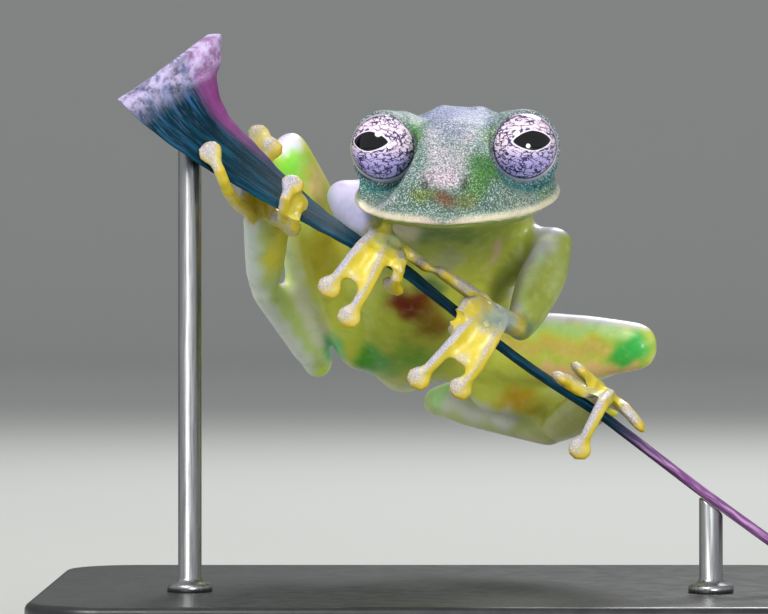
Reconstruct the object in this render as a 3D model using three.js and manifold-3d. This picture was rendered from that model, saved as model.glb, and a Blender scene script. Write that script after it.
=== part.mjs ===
// A life-size model of a small glass frog that grips a narrow, twisted leaf blade, on a display stand.
// Millimetres, +Z up. The frog faces -Y and its own left side is towards +X.
// The origin is at the middle of the stand's underside.

import * as THREE from "three";
import { mergeVertices } from "three/addons/utils/BufferGeometryUtils.js";
import Module from "manifold-3d";

const wasm = await Module();
wasm.setup();

// The frog and its leaf are laid out about one point, which stands this far from the part's origin.
const LAYOUT = new THREE.Vector3(-3.3, -7, 17);
// Clearance between neighbouring sub-parts.
const GAP = 0.25;

// Stand
const BASE = { width: 42, depth: 32, thick: 2.5, corner: 4, bevel: 0.4 };
const ROD_RADIUS = 0.6;
const ROD_SIDES = 16;

// Head, about the point midway between the eyes: x forwards, y to the frog's left, z up.
const HEAD = {
  at: new THREE.Vector3(3.55, 0.5, 8.07),
  yaw: THREE.MathUtils.degToRad(7),
  pitch: THREE.MathUtils.degToRad(8),
  sides: 24,
};
const EYE = { apart: 3.5, radius: 1.78, sides: 20, outward: THREE.MathUtils.degToRad(26), upward: 0.12 };
const SOCKET = { radius: 2.25, setBack: 0.5, sides: 16 };
// The hollow that keeps the snout clear of each eye: a cone that widens forwards.
const BAY = {
  outward: THREE.MathUtils.degToRad(28),
  upward: 0.08,
  from: 0.7,
  to: 3.9,
  narrow: 1.98,
  wide: 2.9,
  sides: 20,
};
const LIP = { radius: 0.3, below: 0.16, tip: [5.55, 0, -3.06] };
// Each nostril is a low mound with a pit on its outer side.
const NOSTRIL = { mound: [4.35, 0.72, -1.12], moundRadius: 0.42, pit: [4.76, 0.96, -1.3], pitRadius: 0.17 };
// How square the arch of each jaw half is: 2 is an ellipse.
const CROWN = 2.2;

// Limb joints and the places between them, about the layout point.
const at = (x, y, z) => new THREE.Vector3(x, y, z);
const FINGER = { radius: 0.4, tipWide: 0.68, tipLong: 0.62, tipDeep: 0.33 };
const TOE = { radius: 0.38, tipWide: 0.66, tipLong: 0.62, tipDeep: 0.33 };
const WEB_HALF_THICK = 0.26;
const LEAF_HALF_THICK = 0.28;

const LEFT = "left";
const RIGHT = "right";

// A three.js geometry as a solid.
function solid(geometry) {
  const bare = geometry.clone();
  bare.deleteAttribute("normal");
  bare.deleteAttribute("uv");
  const merged = mergeVertices(bare, 1e-4);
  return new wasm.Manifold(
    new wasm.Mesh({
      numProp: 3,
      vertProperties: merged.attributes.position.array,
      triVerts: new Uint32Array(merged.index.array),
    }),
  );
}

const joined = (solids) => solids.reduce((all, one) => all.add(one));

// A unit vector along `across`, square to `along`.
function squareTo(along, across) {
  return across.clone().addScaledVector(along, -across.dot(along)).normalize();
}

// A closed body along a smooth line. Each station is its place, half width and half depth, and may carry
// its own direction of width. The ends are round, and `grow` swells the whole body.
function loft(stations, across, options = {}) {
  const { sides = 12, steps = 2, grow = 0, ends = [0.9, 0.9], capRows = 3 } = options;
  const line = new THREE.CatmullRomCurve3(stations.map((s) => s.at), false, "centripetal");
  const size = new THREE.CatmullRomCurve3(stations.map((s) => at(s.wide, s.deep ?? s.wide, 0)));
  const turnOfWidth = stations.map((s) => s.across ?? across);
  const rows = [];
  for (let i = 0; i <= capRows; i++) {
    const a = (i / capRows) * (Math.PI / 2);
    rows.push({ t: 0, push: -Math.cos(a), scale: Math.sin(a), end: 0 });
  }
  const spans = (stations.length - 1) * steps;
  for (let i = 1; i < spans; i++) rows.push({ t: i / spans, push: 0, scale: 1, end: 0 });
  for (let i = 0; i <= capRows; i++) {
    const a = (i / capRows) * (Math.PI / 2);
    rows.push({ t: 1, push: Math.sin(a), scale: Math.cos(a), end: 1 });
  }
  const sections = rows.map(({ t, push, scale, end }) => {
    const along = line.getTangent(t);
    const place = t * (stations.length - 1);
    const k = Math.min(Math.floor(place), stations.length - 2);
    const width = squareTo(along, turnOfWidth[k].clone().lerp(turnOfWidth[k + 1], place - k));
    const depth = along.clone().cross(width);
    const half = size.getPoint(t);
    const reach = ends[end] * Math.min(half.x, half.y) + grow;
    return {
      centre: line.getPoint(t).addScaledVector(along, push * reach),
      width: width.multiplyScalar((half.x + grow) * scale),
      depth: depth.multiplyScalar((half.y + grow) * scale),
    };
  });
  return wrapped(sections, sides, (turn) => [-Math.cos(turn), Math.sin(turn)]);
}

// A sphere whose circles of latitude are moved to the given sections.
function wrapped(sections, sides, outline) {
  const geometry = new THREE.SphereGeometry(1, sides, sections.length - 1);
  const { position, uv } = geometry.attributes;
  for (let i = 0; i < position.count; i++) {
    const section = sections[Math.round((1 - uv.getY(i)) * (sections.length - 1))];
    const column = Math.round(uv.getX(i) * sides) % sides;
    const [a, b] = outline((column / sides) * 2 * Math.PI, section);
    const place = section.centre.clone().addScaledVector(section.width, a);
    place.addScaledVector(section.depth, b);
    position.setXYZ(i, place.x, place.y, place.z);
  }
  return solid(geometry);
}

// An ellipsoid at a place, with its own half sizes along three directions.
function ellipsoid(centre, x, y, halves, sides = 12) {
  const long = x.clone().normalize();
  const wide = squareTo(long, y);
  const geometry = new THREE.SphereGeometry(1, sides, sides / 2);
  geometry.scale(...halves);
  const turn = new THREE.Matrix4().makeBasis(long, wide, long.clone().cross(wide));
  geometry.applyMatrix4(turn.setPosition(centre));
  return solid(geometry);
}

// The head's own frame.
const headFrame = (() => {
  const { yaw, pitch } = HEAD;
  const forward = at(
    -Math.sin(yaw) * Math.cos(pitch),
    -Math.cos(yaw) * Math.cos(pitch),
    -Math.sin(pitch),
  );
  const left = at(Math.cos(yaw), -Math.sin(yaw), 0);
  return new THREE.Matrix4().makeBasis(forward, left, forward.clone().cross(left)).setPosition(HEAD.at);
})();
const inHead = (x, y, z) => at(x, y, z).applyMatrix4(headFrame);
const headWay = (x, y, z) => at(x, y, z).transformDirection(headFrame);

// A jaw half: each station is how far forwards it is, its half width, and the levels of its top, rim
// and bottom.
function jaw(stations, { sides, grow = 0 }) {
  const curve = (pick) => new THREE.CatmullRomCurve3(stations.map(pick));
  const outline = curve((s) => at(s.x, s.wide, s.rim));
  const levels = curve((s) => at(s.top, s.bottom, 0));
  const steps = (stations.length - 1) * 2;
  const sections = [];
  for (let i = 0; i <= steps; i++) {
    const end = i === 0 || i === steps ? 0 : 1;
    const o = outline.getPoint(i / steps);
    const l = levels.getPoint(i / steps);
    const side = i === 0 ? -grow : i === steps ? grow : 0;
    sections.push({
      centre: inHead(o.x + side, 0, o.z),
      width: headWay(0, 1, 0).multiplyScalar((o.y + grow) * end),
      depth: headWay(0, 0, 1),
      up: (l.x - o.z + grow) * end,
      down: (o.z - l.y + grow) * end,
    });
  }
  // The top half is a rounded arch and the bottom half a shallow curve.
  return wrapped(sections, sides, (turn, s) => {
    const c = -Math.cos(turn);
    const b = Math.sin(turn);
    const bow = Math.sign(b) * Math.abs(b) ** (2 / CROWN);
    return [Math.sign(c) * Math.abs(c) ** (2 / CROWN), bow * (b > 0 ? s.up : s.down)];
  });
}

// The upper jaw and the top of the head.
const skullStations = [
  { x: -6.2, wide: 2.6, top: 0.5, rim: -1.6, bottom: -2.4 },
  { x: -5.6, wide: 3.9, top: 1.35, rim: -1.9, bottom: -2.7 },
  { x: -4.0, wide: 4.7, top: 1.7, rim: -2.1, bottom: -2.8 },
  { x: -1.8, wide: 5.05, top: 1.65, rim: -2.3, bottom: -2.9 },
  { x: 0.4, wide: 4.9, top: 1.3, rim: -2.5, bottom: -3.0 },
  { x: 2.4, wide: 4.15, top: 0.5, rim: -2.7, bottom: -3.15 },
  { x: 3.9, wide: 3.1, top: -0.45, rim: -2.8, bottom: -3.2 },
  { x: 4.8, wide: 2.0, top: -1.2, rim: -2.85, bottom: -3.2 },
  { x: 5.25, wide: 1.0, top: -1.9, rim: -2.9, bottom: -3.2 },
];
const skull = (grow) => jaw(skullStations, { sides: HEAD.sides, grow });

// The lower jaw is a little narrower than the upper, and lies close under it.
const mandible = (grow) =>
  jaw(
    [
      { x: -5.2, wide: 2.6, top: -2.2, rim: -2.9, bottom: -3.5 },
      { x: -3.6, wide: 4.1, top: -2.4, rim: -3.0, bottom: -3.95 },
      { x: -1.0, wide: 4.35, top: -2.7, rim: -3.1, bottom: -4.05 },
      { x: 1.4, wide: 3.9, top: -2.8, rim: -3.15, bottom: -3.95 },
      { x: 3.2, wide: 2.8, top: -3.0, rim: -3.25, bottom: -3.7 },
      { x: 4.3, wide: 1.6, top: -3.05, rim: -3.3, bottom: -3.6 },
      { x: 4.65, wide: 0.7, top: -3.1, rim: -3.3, bottom: -3.55 },
    ],
    { sides: 20, grow },
  );

// The upper lip follows the rim of the upper jaw from one corner of the mouth round to the other.
function lip(grow) {
  const oneSide = (sign) =>
    skullStations.slice(2).map((s) => inHead(s.x, sign * (s.wide - LIP.radius / 2), s.rim - LIP.below));
  const round = [...oneSide(-1), inHead(...LIP.tip), ...oneSide(1).reverse()];
  return loft(
    round.map((place) => ({ at: place, wide: LIP.radius })),
    headWay(0, 0, 1),
    { sides: 6, steps: 2, grow, capRows: 2 },
  );
}

// Each side of the frog: +1 is its left.
const sideSign = { [LEFT]: 1, [RIGHT]: -1 };

function gaze(side) {
  const out = Math.sin(EYE.outward) * sideSign[side];
  return headWay(Math.cos(EYE.outward), out, EYE.upward).normalize();
}
const eyeCentre = (side) => inHead(0, EYE.apart * sideSign[side], 0);
const ball = (centre, radius, sides) =>
  solid(new THREE.SphereGeometry(radius, sides, sides / 2).translate(...centre.toArray()));

const inHeadOn = (side, [x, y, z]) => inHead(x, y * sideSign[side], z);

function headSolid(grow = 0) {
  let made = skull(grow).add(lip(grow));
  for (const side of [LEFT, RIGHT]) {
    const centre = eyeCentre(side).addScaledVector(gaze(side), -SOCKET.setBack);
    made = made.add(ball(centre, SOCKET.radius + grow, SOCKET.sides));
    made = made.add(ball(inHeadOn(side, NOSTRIL.mound), NOSTRIL.moundRadius + grow, 10));
  }
  return made;
}

function bay(side) {
  const out = Math.sin(BAY.outward) * sideSign[side];
  const way = headWay(Math.cos(BAY.outward), out, BAY.upward);
  const cone = new THREE.CylinderGeometry(BAY.wide, BAY.narrow, BAY.to - BAY.from, BAY.sides);
  cone.applyQuaternion(new THREE.Quaternion().setFromUnitVectors(at(0, 1, 0), way));
  const middle = eyeCentre(side).addScaledVector(way, (BAY.from + BAY.to) / 2);
  return solid(cone.translate(...middle.toArray()));
}

function carvedHead() {
  let made = headSolid();
  for (const side of [LEFT, RIGHT]) {
    made = made.subtract(ball(eyeCentre(side), EYE.radius + GAP, EYE.sides));
    made = made.subtract(bay(side));
    made = made.subtract(ball(inHeadOn(side, NOSTRIL.pit), NOSTRIL.pitRadius, 8));
  }
  return made.subtract(mandible(GAP));
}

// The trunk from inside the head to the vent. It rolls from level at the neck to the slope of the leaf.
const rolled = (degrees) => {
  const roll = THREE.MathUtils.degToRad(degrees);
  return at(Math.cos(roll), -0.08, -Math.sin(roll));
};
const trunk = (grow) =>
  loft(
    [
      { at: at(3.75, 2.6, 6.2), wide: 3.6, deep: 2.1, across: rolled(0) },
      { at: at(3.7, 5.2, 6.6), wide: 4.2, deep: 2.9, across: rolled(2) },
      { at: at(3.4, 8.2, 5.6), wide: 4.5, deep: 3.1, across: rolled(9) },
      { at: at(2.8, 11.0, 3.7), wide: 4.7, deep: 3.2, across: rolled(17) },
      { at: at(2.0, 13.6, 1.2), wide: 4.5, deep: 3.1, across: rolled(23) },
      { at: at(1.3, 15.8, -1.1), wide: 3.7, deep: 2.6, across: rolled(27) },
      { at: at(1.0, 17.5, -2.8), wide: 2.5, deep: 1.9, across: rolled(29) },
      { at: at(1.0, 18.6, -3.7), wide: 1.4, deep: 1.2, across: rolled(29) },
    ],
    rolled(20),
    { sides: 16, steps: 3, grow },
  );

// Arms and legs: stations of each segment, by side.
const arms = {
  [LEFT]: {
    shoulder: at(6.0, 10.2, 2.5),
    elbow: at(9.0, 6.3, 3.3),
    wrist: at(7.0, 3.4, -1.15),
    palm: at(5.5, 0.9, -0.25),
  },
  [RIGHT]: {
    shoulder: at(0.3, 10.2, 4.9),
    elbow: at(-2.2, 7.2, 5.8),
    wrist: at(-0.35, 3.4, 4.05),
    palm: at(0.1, 0.9, 3.35),
  },
};
const legs = {
  [LEFT]: {
    hip: at(2.7, 16.4, -2.3),
    knee: at(13.8, 11.5, -2.1),
    heel: at(2.9, 21.2, -5.3),
    instep: at(9.1, 15.3, -6.75),
    ball: at(11.2, 6.6, -4.9),
  },
  [RIGHT]: {
    hip: at(-1.0, 17.0, -1.9),
    knee: at(-5.08, 9.5, 8.3),
    heel: at(-3.66, 19.6, -3.2),
    instep: at(-6.45, 13.0, 1.0),
    ball: at(-6.1, 6.6, 4.75),
  },
};
const between = (a, b, share) => a.clone().lerp(b, share);

function upperArm(side, grow) {
  const { shoulder, elbow } = arms[side];
  return loft(
    [
      { at: shoulder, wide: 1.85, deep: 1.6 },
      { at: between(shoulder, elbow, 0.5), wide: 1.35, deep: 1.2 },
      { at: elbow, wide: 1.0 },
    ],
    at(0, 0, 1),
    { sides: 12, grow },
  );
}

function forearm(side, grow) {
  const { elbow, wrist } = arms[side];
  return loft(
    [
      { at: elbow, wide: 1.0 },
      { at: between(elbow, wrist, 0.4), wide: 1.35, deep: 1.1 },
      { at: between(elbow, wrist, 0.8), wide: 1.1, deep: 0.95 },
      { at: wrist, wide: 0.8 },
    ],
    at(1, 0, 0),
    { sides: 12, grow },
  );
}

function thigh(side, grow) {
  const { hip, knee } = legs[side];
  return loft(
    [
      { at: hip, wide: 1.9, deep: 1.75 },
      { at: between(hip, knee, 0.35), wide: 2.1, deep: 1.7 },
      { at: between(hip, knee, 0.75), wide: 1.8, deep: 1.3 },
      { at: knee, wide: 1.35, deep: 1.0 },
    ],
    at(0, 0, 1),
    { sides: 12, grow },
  );
}

function shank(side, grow) {
  const { knee, heel } = legs[side];
  return loft(
    [
      { at: knee, wide: 0.95 },
      { at: between(knee, heel, 0.35), wide: 1.45, deep: 1.2 },
      { at: between(knee, heel, 0.75), wide: 1.15, deep: 1.0 },
      { at: heel, wide: 0.92 },
    ],
    at(0, 0, 1),
    { sides: 12, grow },
  );
}

function tarsus(side, grow) {
  const { heel, instep } = legs[side];
  return loft(
    [
      { at: heel, wide: 0.95 },
      { at: between(heel, instep, 0.5), wide: 1.0, deep: 0.8 },
      { at: instep, wide: 0.95, deep: 0.85 },
    ],
    at(0, 0, 1),
    { sides: 12, grow },
  );
}

// A finger or toe through its points, with a broad flat disc at its tip that faces `palmar`.
function digit(points, palmar, sizes, grow) {
  const last = points.length - 1;
  const stations = points.map((p, i) => ({
    at: p,
    wide: sizes.radius * (1.12 - (0.28 * i) / last),
  }));
  const way = points[last].clone().sub(points[last - 1]).normalize();
  const side = way.clone().cross(palmar);
  const halves = [sizes.tipLong + grow, sizes.tipWide + grow, sizes.tipDeep + grow];
  const bar = loft(stations, palmar, { sides: 6, steps: 2, grow, ends: [0.9, 0.5], capRows: 2 });
  return bar.add(ellipsoid(points[last], way, side, halves, 8));
}

// A web between two digits, from `root` to its free edge at `edge`.
function web(root, edge, across, halfWide, grow) {
  const stations = [
    { at: root, wide: halfWide * 0.75, deep: WEB_HALF_THICK },
    { at: between(root, edge, 0.55), wide: halfWide, deep: WEB_HALF_THICK },
    { at: edge, wide: halfWide * 0.9, deep: WEB_HALF_THICK },
  ];
  return loft(stations, across, { sides: 6, steps: 2, grow, capRows: 2 });
}

const up = at(0.57, 0, 0.82);
const near = at(0, -1, 0);

// A digit: where its disc faces, and the points that it runs through.
const through = (palmar, ...places) => ({ palmar, points: places.map((place) => at(...place)) });

// Fingers by side, from the inner to the outer.
const fingers = {
  [LEFT]: [
    through(up, [5.1, 1.5, 0.25], [4.1, 1.7, 0.95], [3.0, 1.7, 1.7]),
    through(up, [4.9, 0.9, 0.15], [4.2, -0.35, 0.15], [3.6, -0.5, -0.8], [3.75, 0.5, -1.35]),
    through(near, [5.0, 0.6, -0.1], [4.4, -0.55, -0.75], [3.0, -0.9, -2.3], [1.75, -0.9, -3.6]),
    through(near, [5.9, 0.6, -0.75], [5.5, -0.6, -1.6], [4.7, -0.9, -3.0], [3.85, -0.8, -4.1]),
  ],
  [RIGHT]: [
    through(up, [0.5, 1.6, 3.1], [1.25, 1.8, 2.65], [2.1, 1.8, 2.1]),
    through(up, [0.6, 0.9, 2.8], [0.85, -0.45, 2.25], [0.65, -0.4, 1.45], [0.45, 0.5, 1.05]),
    through(near, [0.1, 0.6, 3.1], [-0.15, -0.55, 2.5], [-0.9, -0.9, 0.9], [-1.75, -0.9, -0.5]),
    through(near, [-0.5, 0.6, 3.55], [-1.15, -0.5, 3.0], [-2.0, -0.85, 1.95], [-2.75, -0.8, 1.0]),
  ],
};

function hand(side, grow) {
  const { wrist, palm } = arms[side];
  const spread = side === LEFT ? at(1, 0, -0.65) : at(1, 0, -0.6);
  const parts = [
    loft(
      [
        { at: wrist, wide: 0.66 },
        { at: between(wrist, palm, 0.6), wide: 0.85, deep: 0.55 },
        { at: palm, wide: 1.1, deep: 0.5 },
      ],
      spread,
      { sides: 12, grow },
    ),
    ...fingers[side].map((f) => digit(f.points, f.palmar, FINGER, grow)),
  ];
  const [, , third, fourth] = fingers[side];
  const root = between(third.points[1], fourth.points[1], 0.5);
  const edge = between(third.points[2], fourth.points[2], 0.5);
  const across = fourth.points[2].clone().sub(third.points[2]);
  parts.push(web(root, edge, across, across.length() / 2, grow));
  return joined(parts);
}

// Toes by side, from the inner to the outer.
const toes = {
  [LEFT]: [
    through(up, [10.8, 6.0, -4.7], [10.1, 4.4, -4.2], [9.5, 3.6, -3.8]),
    through(up, [11.0, 5.8, -4.6], [10.8, 2.6, -4.3], [10.1, 0.4, -4.35], [8.95, -0.1, -3.6]),
    through(up, [11.2, 5.6, -4.5], [11.1, 3.4, -4.2], [10.6, 1.9, -3.8], [9.95, 1.5, -3.2]),
    through(
      near,
      [11.4, 5.6, -4.6],
      [11.5, 2.2, -4.5],
      [11.0, -0.5, -4.9],
      [10.4, -0.95, -6.0],
      [9.85, -0.8, -7.15],
    ),
    through(up, [11.7, 5.8, -4.8], [11.8, 2.9, -4.9], [12.3, 1.5, -5.2], [12.9, 1.4, -5.95]),
  ],
  [RIGHT]: [
    through(
      up,
      [-5.4, 6.2, 4.6],
      [-4.9, 4.0, 4.1],
      [-4.6, 1.6, 3.9],
      [-4.45, 0.0, 4.5],
      [-4.3, 0.4, 5.3],
    ),
    through(
      near,
      [-5.8, 6.0, 4.8],
      [-5.4, 3.6, 4.6],
      [-5.1, 0.8, 4.6],
      [-4.95, -0.6, 5.5],
      [-4.6, -0.1, 6.2],
    ),
    through(near, [-6.1, 6.0, 5.0], [-6.2, 5.0, 6.4], [-6.1, 4.5, 7.6], [-5.8, 4.2, 8.2]),
    through(near, [-6.5, 6.0, 5.1], [-7.0, 5.2, 6.8], [-6.8, 4.7, 8.0], [-6.45, 4.3, 8.9]),
    through(
      near,
      [-6.8, 6.0, 4.9],
      [-7.4, 3.4, 5.2],
      [-7.9, 0.4, 5.9],
      [-8.3, -0.6, 6.9],
      [-8.75, -0.5, 7.8],
    ),
  ],
};

function foot(side, grow) {
  const { instep, ball: sole } = legs[side];
  const spread = side === LEFT ? at(0.8, 0.1, -0.6) : at(1, 0.2, 0.1);
  const parts = [
    loft(
      [
        { at: instep, wide: 0.9, deep: 0.75 },
        { at: between(instep, sole, 0.5), wide: 1.15, deep: 0.6 },
        { at: sole, wide: 1.3, deep: 0.5 },
      ],
      spread,
      { sides: 12, grow },
    ),
    ...toes[side].map((f) => digit(f.points, f.palmar, TOE, grow)),
  ];
  for (let i = 0; i < 4; i++) {
    const one = toes[side][i].points;
    const next = toes[side][i + 1].points;
    const across = next[1].clone().sub(one[1]);
    const root = between(one[0], next[0], 0.5);
    parts.push(web(root, between(one[1], next[1], 0.5), across, across.length() / 2, grow));
  }
  return joined(parts);
}

// The leaf blade: it faces the camera's side at its broad end and turns edge on where the frog grips it.
const leafStation = (x, y, z, wide, twist) => {
  const turn = THREE.MathUtils.degToRad(twist);
  const across = up.clone().multiplyScalar(Math.cos(turn)).add(at(0, Math.sin(turn), 0));
  return { at: at(x, y, z), wide, deep: LEAF_HALF_THICK, across };
};
const leaf = (grow) =>
  loft(
    [
      leafStation(-10.95, 0.6, 12.3, 3.05, 0),
      leafStation(-10.3, 0.8, 10.5, 2.35, 15),
      leafStation(-9.1, 1.1, 8.9, 2.1, 42),
      leafStation(-7.3, 1.4, 7.4, 1.85, 50),
      leafStation(-5.0, 1.6, 5.65, 1.65, 63),
      leafStation(-3.3, 1.6, 4.5, 1.5, 70),
      leafStation(-1.45, 1.6, 3.3, 1.4, 76),
      leafStation(1.05, 1.6, 1.85, 1.3, 80),
      leafStation(2.85, 1.6, 0.4, 1.2, 84),
      leafStation(7.15, 1.5, -2.9, 1.0, 90),
      leafStation(10.7, 1.3, -5.25, 0.85, 90),
      leafStation(12.4, 1.2, -6.5, 0.7, 88),
      leafStation(16.2, 1.0, -9.4, 0.5, 85),
      leafStation(20.6, 0.8, -12.6, 0.4, 80),
    ],
    up,
    { sides: 10, steps: 2, grow, ends: [0.6, 0.6] },
  );

// The solids, each cut clear of those made before it.
const clearance = [];
function part(make, { grown = make, clear = true } = {}) {
  let made = make(0);
  if (clear) for (const other of clearance) made = made.subtract(other);
  clearance.push(grown(GAP));
  return made;
}

const solids = new Map();
solids.set("head", carvedHead());
clearance.push(headSolid(GAP));
for (const side of [LEFT, RIGHT]) solids.set(`eye_${side}`, ball(eyeCentre(side), EYE.radius, EYE.sides));
solids.set("lower_jaw", mandible(0));
clearance.push(mandible(GAP));
solids.set("torso", part(trunk));
solids.set("leaf_perch", part(leaf, { clear: false }));
for (const side of [LEFT, RIGHT]) {
  solids.set(`upper_arm_${side}`, part((grow) => upperArm(side, grow)));
  solids.set(`forearm_${side}`, part((grow) => forearm(side, grow)));
  solids.set(`hand_${side}`, part((grow) => hand(side, grow)));
  solids.set(`thigh_${side}`, part((grow) => thigh(side, grow)));
  solids.set(`shank_${side}`, part((grow) => shank(side, grow)));
  solids.set(`tarsus_${side}`, part((grow) => tarsus(side, grow)));
  solids.set(`foot_${side}`, part((grow) => foot(side, grow)));
}

// The stand: a flat plate with rounded corners, and two rods that end just under the leaf.
function baseGeometry() {
  const { width, depth, thick, corner, bevel } = BASE;
  const x = width / 2 - bevel;
  const y = depth / 2 - bevel;
  const plan = new THREE.Shape();
  plan.moveTo(-x + corner, -y);
  plan.lineTo(x - corner, -y);
  plan.absarc(x - corner, -y + corner, corner, -Math.PI / 2, 0);
  plan.lineTo(x, y - corner);
  plan.absarc(x - corner, y - corner, corner, 0, Math.PI / 2);
  plan.lineTo(-x + corner, y);
  plan.absarc(-x + corner, y - corner, corner, Math.PI / 2, Math.PI);
  plan.lineTo(-x, -y + corner);
  plan.absarc(-x + corner, -y + corner, corner, Math.PI, Math.PI * 1.5);
  const made = new THREE.ExtrudeGeometry(plan, {
    depth: thick - 2 * bevel,
    bevelSize: bevel,
    bevelThickness: bevel,
    bevelSegments: 2,
    curveSegments: 6,
  });
  return made.translate(0, 0, bevel);
}

const rodFoot = BASE.thick + GAP - LAYOUT.z;
function rod(x, y, top) {
  const height = top - rodFoot;
  const bar = new THREE.CylinderGeometry(ROD_RADIUS, ROD_RADIUS, height, ROD_SIDES);
  bar.rotateX(Math.PI / 2).translate(x, y, rodFoot + height / 2);
  return solid(bar).subtract(leaf(GAP));
}
solids.set("stand_rod_tall", rod(-9.9, 1.9, 9.3));
solids.set("stand_rod_short", rod(16.6, 1.0, -9.6));

// Largest closed surface of a solid, as a geometry.
function geometryOf(made) {
  const largest = made.decompose().reduce((a, b) => (b.volume() > a.volume() ? b : a));
  const mesh = largest.getMesh();
  const geometry = new THREE.BufferGeometry();
  const places = new Float32Array((mesh.vertProperties.length / mesh.numProp) * 3);
  for (let i = 0; i < places.length / 3; i++) {
    for (let k = 0; k < 3; k++) places[3 * i + k] = mesh.vertProperties[mesh.numProp * i + k];
  }
  geometry.setAttribute("position", new THREE.BufferAttribute(places, 3));
  geometry.setIndex([...mesh.triVerts]);
  return geometry;
}

const finishes = {
  back: new THREE.MeshStandardMaterial({ color: 0xb9c6c0, roughness: 0.45 }),
  skin: new THREE.MeshStandardMaterial({ color: 0xb4c46a, roughness: 0.35 }),
  eye: new THREE.MeshStandardMaterial({ color: 0xc9b8d8, roughness: 0.08 }),
  leaf: new THREE.MeshStandardMaterial({ color: 0x1f5f7a, roughness: 0.3 }),
  stand: new THREE.MeshStandardMaterial({ color: 0x2b2b2d, roughness: 0.4 }),
  rod: new THREE.MeshStandardMaterial({ color: 0xb8babd, roughness: 0.25, metalness: 1 }),
};
function finishOf(name) {
  if (name.startsWith("eye_")) return finishes.eye;
  if (name.startsWith("stand_rod")) return finishes.rod;
  if (name === "leaf_perch") return finishes.leaf;
  return name === "head" ? finishes.back : finishes.skin;
}

const group = new THREE.Group();
const specimen = new THREE.Group();
specimen.position.copy(LAYOUT);
for (const [name, made] of solids) {
  const mesh = new THREE.Mesh(geometryOf(made), finishOf(name));
  mesh.name = name;
  specimen.add(mesh);
}
group.add(specimen);
const base = new THREE.Mesh(baseGeometry(), finishes.stand);
base.name = "stand_base";
group.add(base);

export default group;
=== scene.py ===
# The looks of a life-size glass frog that grips a twisted leaf blade, on a plain display stand.
# Blender works in metres. Shapes are worked out in millimetres about the layout point, which the
# photograph's optical axis passes: x to the frog's left, y away from the camera, z up.

import math

import bmesh
import bpy
import numpy as np
from mathutils import Matrix, Vector
from mathutils.bvhtree import BVHTree


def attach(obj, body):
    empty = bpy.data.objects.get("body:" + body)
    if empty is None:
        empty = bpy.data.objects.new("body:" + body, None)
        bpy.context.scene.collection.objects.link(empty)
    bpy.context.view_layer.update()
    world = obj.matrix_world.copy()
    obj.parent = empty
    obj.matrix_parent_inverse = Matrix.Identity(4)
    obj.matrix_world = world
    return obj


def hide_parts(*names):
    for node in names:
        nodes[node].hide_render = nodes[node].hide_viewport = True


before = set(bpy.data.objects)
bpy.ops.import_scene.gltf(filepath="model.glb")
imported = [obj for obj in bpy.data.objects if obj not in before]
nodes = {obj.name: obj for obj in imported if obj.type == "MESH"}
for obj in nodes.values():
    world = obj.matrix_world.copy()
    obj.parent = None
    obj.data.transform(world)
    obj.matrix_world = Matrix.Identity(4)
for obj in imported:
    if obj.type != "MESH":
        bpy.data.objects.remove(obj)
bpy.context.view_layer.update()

MM = 0.001
LAYOUT = Vector((-3.3, -7.0, 17.0))

# +1 stands for the frog's left side and -1 for its right one.
SIDES = (1, -1)

# Camera: level, looking along +Y, this far in front of the layout point.
CAMERA_DISTANCE = 200.0
CAMERA_CLIP = 10.0
VIEW_WIDTH = 38.8
SENSOR = 36.0

# Lights: place and size in metres, power and colour. Each points at the layout point.
LIGHTS = {
    "key": ((-0.12, -0.22, 0.26), 0.13, 0.9, (1.0, 0.98, 0.95)),
    "fill": ((0.09, -0.34, 0.04), 0.08, 0.62, (0.97, 0.98, 1.0)),
    "rim": ((0.06, 0.22, 0.24), 0.14, 0.6, (1.0, 1.0, 1.0)),
}
SKY_COLOUR = (0.8, 0.82, 0.84, 1)
SKY_STRENGTH = 0.62

# Floor: how far it reaches to the front and sides, the wall behind it, and the bend between them.
FLOOR_FRONT = 1500.0
FLOOR_HALF_WIDTH = 3000.0
WALL_DISTANCE = 1500.0
WALL_HEIGHT = 1500.0
BEND_RADIUS = 500.0
BEND_STEPS = 24
FLOOR_COLOUR = (0.46, 0.47, 0.45, 1)

# Head: its own frame has x forwards, y to the frog's left, z up, with its origin between the eyes.
HEAD_AT = Vector((3.55, 0.5, 8.07))
HEAD_YAW = math.radians(7)
HEAD_PITCH = math.radians(8)
EYE_APART = 3.5
EYE_RADIUS = 1.78
GAZE_OUT = math.radians(23)
GAZE_UP = 0.14
# Each eye's lids open nearly forwards, and their edge is this far in front of the ball's middle.
BAY_OUT = math.radians(28)
BAY_UP = 0.08
LID_LEVEL = 0.42
LID_RADIUS = 1.9
# The rounded edge of the lids: its height and its width. Skin behind the eye lies this deep in it.
LID_EDGE = (0.07, 0.07)
UNDER_EYE = 0.12
# How much lower the lid's edge is on the inner side, for the left eye and for the right one.
LID_DIP = {1: 0.15, -1: 0.5}
# How fast the skin may rise outside each lid: its slope, and how much the slope grows.
LID_RISE = {1: (1.2, 2.0), -1: (1.0, 0.6)}
BROW_RADIUS = 1.94
# Two low bumps on the nape: forwards, and to the left.
NAPE_BUMPS = [(-2.6, -0.85), (-2.4, 1.15)]
# The rim of the upper jaw, from the corner of the mouth to the snout: forwards, half width, level.
JAW_RIM = [
    (-4.0, 4.7, -2.1),
    (-1.8, 5.05, -2.3),
    (0.4, 4.9, -2.5),
    (2.4, 4.15, -2.7),
    (3.9, 3.1, -2.8),
    (4.8, 2.0, -2.85),
    (5.25, 1.0, -2.9),
    (5.5, 0.0, -2.92),
]
# How far below the rim the lip and the line of the mouth run
LIP_DROP = 0.12
MOUTH_DROP = 0.38
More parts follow.
